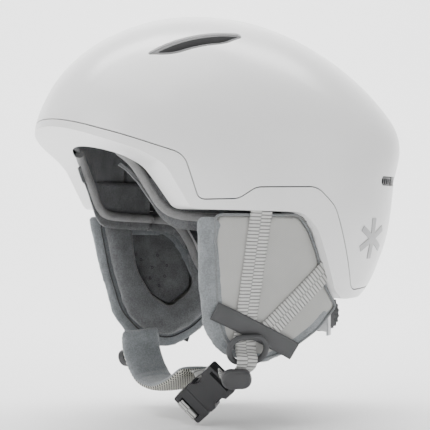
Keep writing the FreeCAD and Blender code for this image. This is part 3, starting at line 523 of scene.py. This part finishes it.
def puffed(piece, voxel, cap):
    """Remesh a closed piece evenly, swell it as cloth and keep a capped move."""
    scene = bpy.context.scene
    remesh = piece.modifiers.new("remesh", "REMESH")
    remesh.mode = "VOXEL"
    remesh.voxel_size = voxel
    graph = bpy.context.evaluated_depsgraph_get()
    even = bpy.data.meshes.new_from_object(piece.evaluated_get(graph))
    piece.modifiers.clear()
    piece.data = even
    normals = np.array([v.normal for v in even.vertices])
    start = np.array([v.co for v in even.vertices]) - normals * (cap * SLACK)
    even.vertices.foreach_set("co", start.ravel())
    even.update()
    cloth = piece.modifiers.new("cloth", "CLOTH")
    cloth.settings.use_pressure = True
    cloth.settings.uniform_pressure_force = CLOTH_PRESSURE
    cloth.settings.effector_weights.gravity = 0.0
    cloth.settings.quality = CLOTH_QUALITY
    for frame_number in range(1, CLOTH_FRAMES + 1):
        scene.frame_set(frame_number)
    graph = bpy.context.evaluated_depsgraph_get()
    swollen = bpy.data.meshes.new_from_object(piece.evaluated_get(graph))
    moved = np.array([v.co for v in swollen.vertices]) - start
    length = np.linalg.norm(moved, axis=1)
    share = np.minimum(1.0, cap / np.maximum(length, 1e-9))
    swollen.vertices.foreach_set("co", (start + moved * share[:, None]).ravel())
    piece.modifiers.clear()
    piece.data = swollen
    scene.frame_set(1)
    finer = piece.modifiers.new("finer", "SUBSURF")
    finer.levels = 1
    finer.render_levels = 1
    graph = bpy.context.evaluated_depsgraph_get()
    piece.data = bpy.data.meshes.new_from_object(piece.evaluated_get(graph))
    piece.modifiers.clear()
    for polygon in piece.data.polygons:
        polygon.use_smooth = True
    return piece


def dress(piece, replaced=(), body="helmet"):
    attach(piece, body)
    if replaced:
        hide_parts(*replaced)
    return piece


# %% [markdown]
# ## Ear pads
# On the bench the pad is a fleece-covered foam U, rolled round a thin perforated panel over the ear, with
# a flat woven cover sewn on outside.  The fleece wraps forward of the cover, so a band of it shows along
# the front edge.  Each part here is a stuffed form between two loops.

# %% Ear pad outlines
EAR_PAD = [(-68, -3.4), (-63.5, -45), (-55.5, -80), (-40, -97.5), (-10, -107), (15, -98), (34, -84),
           (46, -68), (42.5, -63.5), (33, -51.5), (21, -27), (12, -13.5), (2, -4)]
EAR_PAD_RADII = [4, 60, 30, 22, 30, 60, 40, 5, 6, 16, 30, 20, 8]
EAR_HOLE = [(-34, -10), (-29, -45), (-18, -64), (-5, -72), (17, -60), (15, -24), (3, -10)]
EAR_HOLE_RADII = [5, 30, 18, 6, 14, 20, 10]
COVER = [(-57, -3.6), (-52.5, -36), (-46, -72), (-37.5, -90), (-11, -102), (13, -94), (32, -81.5),
         (44.5, -66.5), (42, -63.5), (32, -51.5), (20.5, -28), (11.5, -13.5), (2, -4.2)]
PAD_CENTRE = (-9.0, -48.0)
LOOP = 160
COVER_SEAM = [(-9.5, -4), (7, -6.5), (21.5, -17), (27, -29), (19.5, -44), (4.5, -59), (-13.5, -76)]
SEAM_ASIDE = np.array([-0.9, -0.9])
SEAM_POINTS = 90
FINE_CORD = 0.00035
PERFORATIONS = [(-25, -38), (-10, -35), (-3, -43), (-16, -44), (-6, -51), (-19, -52), (-12, -58)]
HOLE_RADIUS = 0.9
HOLE_TURNS = np.linspace(0, 2 * math.pi, 9)[:-1]
pad_loop = start_angle(by_angle(rounded(EAR_PAD, EAR_PAD_RADII), PAD_CENTRE, LOOP), PAD_CENTRE)
hole_loop = start_angle(by_angle(rounded(EAR_HOLE, EAR_HOLE_RADII), PAD_CENTRE, LOOP), PAD_CENTRE)
cover_loop = start_angle(by_angle(rounded(COVER, EAR_PAD_RADII), PAD_CENTRE, LOOP), PAD_CENTRE)
centre_loop = np.array([PAD_CENTRE] * LOOP)


def drawn_in(loop, share):
    """A loop moved towards the pad's centre by a share."""
    return loop + (centre_loop - loop) * share


def cord_on_cheek(name, loop, offset, radius, sign, material, closed=True):
    """A thin round cord lying on the cheek along a loop: used for piping and sewn seams, and for dark lines
    of painted shade in a sunk seam and round perforations.
    """
    curve = bpy.data.curves.new(name, "CURVE")
    curve.dimensions = "3D"
    curve.bevel_depth = radius
    curve.bevel_resolution = 3
    line = curve.splines.new("POLY")
    line.points.add(len(loop) - 1)
    for k, (y, z) in enumerate(loop):
        line.points[k].co = (*cheek(y, z, offset, sign), 1.0)
    line.use_cyclic_u = closed
    curve.materials.append(material)
    item = bpy.data.objects.new(name, curve)
    bpy.context.collection.objects.link(item)
    return item


seam_grey = moulded("cover thread", (0.20, 0.20, 0.195), 0.9)
# A near-black cord that paints the shade in the sunk seam between flange and roll and inside each
# perforation.
seam_shade_cord = moulded("painted seam shade", (0.05, 0.05, 0.052), 0.9)
roll_fleece = fleece("ear roll fleece", (0.125, 0.13, 0.135), 0.35, 1000.0)
piping_grey = fleece("piping knit", (0.17, 0.18, 0.185), 0.2, 1400.0)
for side, sign in SIDES:
    flange = stuffed("ear_pad_flange_" + side, pad_loop, drawn_in(pad_loop, 0.42), -0.4, -7.5, 0.0, 0.0, sign,
                     FINISHES["fleece_light"], rings=10)
    puffed(flange, 0.0022, 0.0012)
    dress(flange)
    roll = stuffed("ear_pad_roll_" + side, drawn_in(pad_loop, 0.16), hole_loop, -6.0, -12.5, 0.0, 2.6, sign,
                   roll_fleece, rings=14)
    puffed(roll, 0.0022, 0.0014)
    dress(roll, ["ear_pad_bolster_" + side])
    panel = stuffed("ear_panel_cloth_" + side, drawn_in(hole_loop, -0.03), centre_loop, -3.6, -6.4, 0.0, 0.8,
                    sign, FINISHES["fleece_dark"], rings=16)
    dress(panel, ["ear_panel_" + side])
    cover = stuffed("ear_cover_" + side, cover_loop, centre_loop, 0.1, -2.6, 0.35, 0.0, sign,
                    FINISHES["woven_cover"], rings=16)
    dress(cover, ["ear_pad_cover_" + side])
    piping = cord_on_cheek("ear_cover_piping_" + side, cover_loop, -0.3, 0.0009, sign, piping_grey)
    dress(piping)
    # Painted shade: a near-black cord in the crease of the roll seam.
    dress(cord_on_cheek("ear_roll_seam_shade_" + side, drawn_in(pad_loop, 0.155), -8.1, 0.0005, sign, seam_shade_cord))
    stitched = smooth_line(COVER_SEAM, SEAM_POINTS)
    seam = cord_on_cheek("ear_cover_seam_" + side, stitched, 0.42, 0.0004, sign, seam_grey, closed=False)
    dress(seam)
    for k in range(2, SEAM_POINTS - 2, 2):
        ends = stitched[k:k + 2] + SEAM_ASIDE
        stitch = cord_on_cheek("cover_stitch_%02d_%s" % (k, side), ends, 0.5, FINE_CORD, sign, seam_grey,
                               closed=False)
        dress(stitch)
    # Painted shade: a near-black ring round each perforation stands for the shade inside the hole.
    for k, (y, z) in enumerate(PERFORATIONS):
        ring = [(y + HOLE_RADIUS * math.cos(a), z + HOLE_RADIUS * math.sin(a)) for a in HOLE_TURNS]
        hole = cord_on_cheek("ear_hole_%d_%s" % (k, side), ring, -7.25, FINE_CORD, sign, seam_shade_cord)
        dress(hole)
print("ear pads stuffed")

# %% [markdown]
# ## Webbing
# A strap is a strip of woven ribs.  A list of stations (a point, and which way the strap is broad) is
# smoothed and given thickness; each point remembers its distance along and across for the ribs.


# %% Straps from stations
def strap(name, centres, broads, width, thickness, material, count=90, cells=8, edge=0.35):
    """A flat strip with softly rounded edges, in metres."""
    line = smooth_line(centres, count)
    broad = smooth_line(broads, count)
    along = np.gradient(line, axis=0)
    along /= np.linalg.norm(along, axis=1)[:, None]
    broad -= along * (broad * along).sum(1)[:, None]
    broad /= np.linalg.norm(broad, axis=1)[:, None]
    thick = np.cross(along, broad)
    travelled = np.concatenate([[0], np.cumsum(np.linalg.norm(np.diff(line, axis=0), axis=1))])
    around = []
    for k in range(cells + 1):
        s = -1 + 2 * k / cells
        around.append((s, 1 - edge * abs(s) ** 8))
    loop = around + [(s, -h) for s, h in around[::-1]]
    points, far, across = [], [], []
    for k in range(count):
        for s, h in loop:
            points.append(line[k] + broad[k] * (s * width / 2) + thick[k] * (h * thickness / 2))
            far.append(travelled[k])
            across.append(s)
    size = len(loop)
    faces = [(k * size + j, k * size + (j + 1) % size, (k + 1) * size + (j + 1) % size, (k + 1) * size + j)
             for k in range(count - 1) for j in range(size)]
    faces += [tuple(range(size))[::-1], tuple(range((count - 1) * size, count * size))]
    piece = mesh_piece(name, points, faces, material)
    numbers(piece, "along", far)
    numbers(piece, "across", across)
    numbers(piece, "across_m", np.array(across) * width / 2)
    return piece


WEB = 0.015
WEB_THICK = 0.0014
WEB_LIFT = 1.05         # strap's middle over the cover, in millimetres


def on_pad(y, z, lift, sign):
    return np.array(cheek(y, z, lift, sign))


def pad_strap(name, first, last, lift, sign, width, thickness, material, bend=None):
    """A straight strap over the ear pad between two (fore-aft, height) places."""
    spots = [np.array(first) + (np.array(last) - np.array(first)) * t for t in np.linspace(0, 1, 8)]
    lifts = [lift] * 8 if bend is None else bend
    slope = np.array([-(last[1] - first[1]), last[0] - first[0]], float)
    slope /= np.hypot(*slope)
    centres = [on_pad(y, z, h, sign) for (y, z), h in zip(spots, lifts)]
    broads = [on_pad(y + slope[0], z + slope[1], h, sign) - on_pad(y - slope[0], z - slope[1], h, sign)
              for (y, z), h in zip(spots, lifts)]
    return strap(name, centres, broads, width, thickness, material)


for side, sign in SIDES:
    front = pad_strap("front_webbing_" + side, (-26.5, -1.0), (-26.5, -88.0), WEB_LIFT, sign, WEB, WEB_THICK,
                      FINISHES["webbing"])
    dress(front, ["front_strap_" + side])
    rear = pad_strap("rear_webbing_" + side, (38.5, -32.5), (-15.5, -87.5), WEB_LIFT + 0.15, sign, WEB,
                     WEB_THICK, FINISHES["webbing"])
    dress(rear, ["rear_strap_" + side])
    keeper = pad_strap("keeper_" + side, (-50.0, -66.5), (14.0, -96.4), 2.6, sign, 0.0125, 0.0012,
                       FINISHES["rubber_black"], bend=[1.2, 2.3, 2.6, 2.6, 2.6, 2.6, 2.3, 1.2])
    dress(keeper, ["keeper_band_" + side])

# %% [markdown]
# ## From the ring to the buckle
# Below the pad the two straps come together inside the rubber ring, turn out over its lower bar and run
# under the jaw: on the left to the buckle's upper bar, on the right to the chin sleeve.

# %% Lower webbing
BUCKLE_TOP = np.array([55.0, -28.0, -112.0])
BUCKLE_FOOT = np.array([22.0, -41.0, -139.0])
OUTWARD = np.array([0.875, -0.485, 0.0])
FORE = np.array([0.0, 1.0, 0.0])
pull = (BUCKLE_FOOT - BUCKLE_TOP) / np.linalg.norm(BUCKLE_FOOT - BUCKLE_TOP)
face_out = OUTWARD - pull * OUTWARD.dot(pull)
face_out /= np.linalg.norm(face_out)
broad_way = np.cross(pull, face_out)
mouth = BUCKLE_TOP + pull * 28.0
RING_PATH = [(-25.5, -85.5, 1.4), (-25.0, -89.5, 2.0), (-25.5, -94.0, 4.4), (-26.5, -99.0, 9.5),
             (-27.0, -104.5, 9.7)]
for side, sign in SIDES:
    centres = [on_pad(y, z, h, sign) for y, z, h in RING_PATH]
    if sign > 0:
        centres += [np.array(p) * MM for p in [(73, -29, -109.7), (66, -29, -112.7), (60, -28.3, -113.2),
                                               BUCKLE_TOP + pull * 1.2]]
        broads = [FORE] * 7 + [FORE * 0.85 - broad_way * 0.4, broad_way * -1]
    else:
        centres += [np.array(p) * MM for p in [(-73, -29.5, -110), (-66, -30.5, -112.5),
                                               (-60.5, -32, -108.5)]]
        broads = [FORE] * len(centres)
    lower = strap("lower_webbing_" + side, centres, broads, WEB, WEB_THICK, FINISHES["webbing"], count=140)
    dress(lower, ["lower_strap_" + side])
print("webbing threaded")

# %% [markdown]
# ## The chin sleeve
# A soft sleeve slides on the chin webbing: smooth fleece towards the skin, open spacer mesh outside.
# It is one flattened tube swept along the webbing's line; the fleece side is the half that faces up.

# %% Chin sleeve and chin webbing
CHIN_LINE = [(-52.3, -40.3, -88.5), (-52, -40, -92), (-51.5, -39, -104), (-46, -37, -116),
             (-35, -35.5, -124.5), (-15, -34.5, -126), (5, -33.5, -120.5), (19, -32.5, -113.5),
             (24, -32, -110.5)]
SLEEVE_WIDTH = 0.030
SLEEVE_THICK = 0.0078
GATHER_AT = 0.032           # the sleeve creases where it bends most, this far along
GATHER_SPREAD = 0.012
GATHER_PITCH = 0.0075
GATHER_DEPTH = 0.06


def sleeve(name, line_points, width, thickness, count=220, around=28):
    line = smooth_line(np.array(line_points, float) * MM, count)
    along = np.gradient(line, axis=0)
    along /= np.linalg.norm(along, axis=1)[:, None]
    broad = np.tile(FORE, (count, 1)) - along * along[:, 1:2]
    broad /= np.linalg.norm(broad, axis=1)[:, None]
    thick = np.cross(along, broad)
    travelled = np.concatenate([[0], np.cumsum(np.linalg.norm(np.diff(line, axis=0), axis=1))])
    total = travelled[-1]
    points, far, side_way = [], [], []
    for k in range(count):
        end = min(travelled[k], total - travelled[k]) / 0.006
        closing = math.sqrt(1 - (1 - min(1.0, end)) ** 2) if end < 1 else 1.0
        closing = max(closing, 0.02)
        near_bend = math.exp(-((travelled[k] - GATHER_AT) / GATHER_SPREAD) ** 2)
        fold = 1 + GATHER_DEPTH * math.sin(travelled[k] * 2 * math.pi / GATHER_PITCH) * near_bend
        for j in range(around):
            a = 2 * math.pi * j / around
            c, s = math.cos(a), math.sin(a)
            w = math.copysign(abs(c) ** 0.7, c) * width / 2 * (0.86 + 0.14 * closing)
            h = math.copysign(abs(s) ** 0.8, s) * thickness / 2 * closing * fold
            points.append(line[k] + broad[k] * w + thick[k] * h)
            far.append(travelled[k])
            side_way.append(w)
    faces = [(k * around + j, k * around + (j + 1) % around, (k + 1) * around + (j + 1) % around,
              (k + 1) * around + j) for k in range(count - 1) for j in range(around)]
    faces += [tuple(range(around))[::-1], tuple(range((count - 1) * around, count * around))]
    piece = mesh_piece(name, points, faces, FINISHES["chin_mesh"])
    piece.data.materials.append(FINISHES["fleece_light"])
    numbers(piece, "along", far)
    numbers(piece, "across_m", side_way)
    for polygon in piece.data.polygons:
        middle = np.array(polygon.center)
        nearest = int(np.argmin(((line - middle) ** 2).sum(1)))
        inner_side = (middle - line[nearest]).dot(thick[nearest])
        polygon.material_index = 1 if inner_side * thick_sign > -0.0002 else 0
    return piece


first = np.array(CHIN_LINE[3], float) - np.array(CHIN_LINE[2], float)
thick_way = np.cross(first / np.linalg.norm(first), FORE)
thick_sign = 1 if thick_way[2] > 0 or thick_way[0] > 0 else -1
chin_sleeve = sleeve("chin_sleeve", CHIN_LINE, SLEEVE_WIDTH, SLEEVE_THICK)
dress(chin_sleeve, ["chin_pad"])
bar = mouth + pull * 9.6
tail = [(22, -32, -111.5), (27, -30.5, -112.5), (28.5, -28.8, -119), bar - face_out * 7.2 + pull * 2,
        bar - face_out * 4.5 + pull * 5.2, bar + face_out * 2.0 + pull * 6.0,
        bar + face_out * 5.1 + pull * 2.5, bar + face_out * 4.9 - pull * 0.5]
broads = [FORE, FORE, FORE * 0.7 - broad_way * 0.6] + [broad_way * -1] * 5
chin_tail = strap("chin_webbing", np.array([np.array(p, float) for p in tail]) * MM, broads, WEB, WEB_THICK,
                  FINISHES["webbing"], count=130)
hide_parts("chin_strap")
tuple((bar - face_out * 7.2) * MM)
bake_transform(chin_tail)

# %% [markdown]
# ## The lining
# The comfort pads inside the liner are foam laminated with brushed textile.  Their engineering solids
# have the right place and thickness but hard edges; remeshing at a few millimetres and relaxing the
# skin rounds every edge, as a wrapped foam sheet would.


# %% Lining pads
def softened(name, node, voxel, rounds, material):
    """A rounded, slightly relaxed copy of a plain pad."""
    source = frame["nodes"][node]
    piece = bpy.data.objects.new(name, source.data.copy())
    piece.matrix_world = source.matrix_world.copy()
    bpy.context.collection.objects.link(piece)
    piece.data.materials.clear()
    piece.data.materials.append(material)
    remesh = piece.modifiers.new("remesh", "REMESH")
    remesh.mode = "VOXEL"
    remesh.voxel_size = voxel
    relax = piece.modifiers.new("relax", "SMOOTH")
    relax.factor = 0.5
    relax.iterations = rounds
    graph = bpy.context.evaluated_depsgraph_get()
    baked = bpy.data.meshes.new_from_object(piece.evaluated_get(graph))
    piece.modifiers.clear()
    piece.data = baked
    for polygon in baked.polygons:
        polygon.use_smooth = True
    return piece


for node in ("crown_pad", "brow_pad", "side_pad_left", "side_pad_right", "nape_pad"):
    pad = softened(node + "_textile", node, 0.0019, 6, FINISHES["fleece_dark"])
    dress(pad, [node])
print("lining relaxed")

# %% [markdown]
# ## The rim roll
# A knitted tape is rolled over the liner's lower edge inside the shell.  It runs from the brow, down
# behind the temple and back above the ear pad, and then down behind the ear.

# %% Rim roll
RIM_ROLL = [(-97, 39), (-90, 30), (-81, 14), (-74, 2), (-64, -4), (-42, -6), (-20, -7), (0, -10), (11, -22),
            (20, -40), (28, -54)]
ROLL_RADIUS = 0.0032
ROLL_INSET = 0.0085         # the roll's middle in from the liner's wall
WALL_PROBE = 16.0           # how far above the roll the wall is measured


def liner_wall(y, z):
    """The liner's inside face, out from the head's middle, just above a place on the rim."""
    liner = frame["nodes"]["impact_liner"]
    inverse = liner.matrix_world.inverted()
    start = inverse @ Vector((0, y * MM, (z + WALL_PROBE) * MM))
    hit, place, _, _ = liner.ray_cast(start, inverse.to_3x3() @ Vector((1, 0, 0)))
    return (liner.matrix_world @ place).x if hit else None


roll_knit = fleece("rim roll knit", (0.20, 0.20, 0.20), 0.2, 1500.0)
spots = smooth_line(RIM_ROLL, 60)
walls = [liner_wall(y, z) for y, z in spots]
known = [k for k, wall in enumerate(walls) if wall is not None]
reach = np.interp(range(len(walls)), known, [walls[k] for k in known])
for side, sign in SIDES:
    curve = bpy.data.curves.new("rim_roll_" + side, "CURVE")
    curve.dimensions = "3D"
    curve.bevel_depth = ROLL_RADIUS
    curve.bevel_resolution = 5
    curve.use_fill_caps = True
    line = curve.splines.new("POLY")
    line.points.add(len(spots) - 1)
    for k, (y, z) in enumerate(spots):
        line.points[k].co = (sign * (reach[k] - ROLL_INSET), y * MM, z * MM, 1.0)
    curve.materials.append(roll_knit)
    item = bpy.data.objects.new("rim_roll_" + side, curve)
    bpy.context.collection.objects.link(item)
    dress(item)

# A strip of lining hangs behind the roll, so that the shell's lower flange is covered from inside.
SKIRT_TOP = 20.0
SKIRT_DROP = 9.0
SKIRT_INSET = 0.0068
SKIRT_ROWS = 10
SKIRT_SPAN = 48             # how many of the roll's points it hangs behind
for side, sign in SIDES:
    points = []
    for k, (y, z) in enumerate(spots[:SKIRT_SPAN]):
        for row in range(SKIRT_ROWS + 1):
            height = SKIRT_TOP + (z - SKIRT_DROP - SKIRT_TOP) * row / SKIRT_ROWS
            swell = 0.0012 * math.sin(math.pi * row / SKIRT_ROWS)
            points.append((sign * (reach[k] - SKIRT_INSET - swell), y * MM, max(height, z - SKIRT_DROP) * MM))
    rows = SKIRT_ROWS + 1
    faces = [(k * rows + j, k * rows + j + 1, (k + 1) * rows + j + 1, (k + 1) * rows + j)
             for k in range(SKIRT_SPAN - 1) for j in range(SKIRT_ROWS)]
    skirt = mesh_piece("rim_skirt_" + side, points, faces, FINISHES["fleece_dark"])
    thick = skirt.modifiers.new("thick", "SOLIDIFY")
    thick.thickness = 0.0012
    dress(skirt)
print("rim rolled and lined")
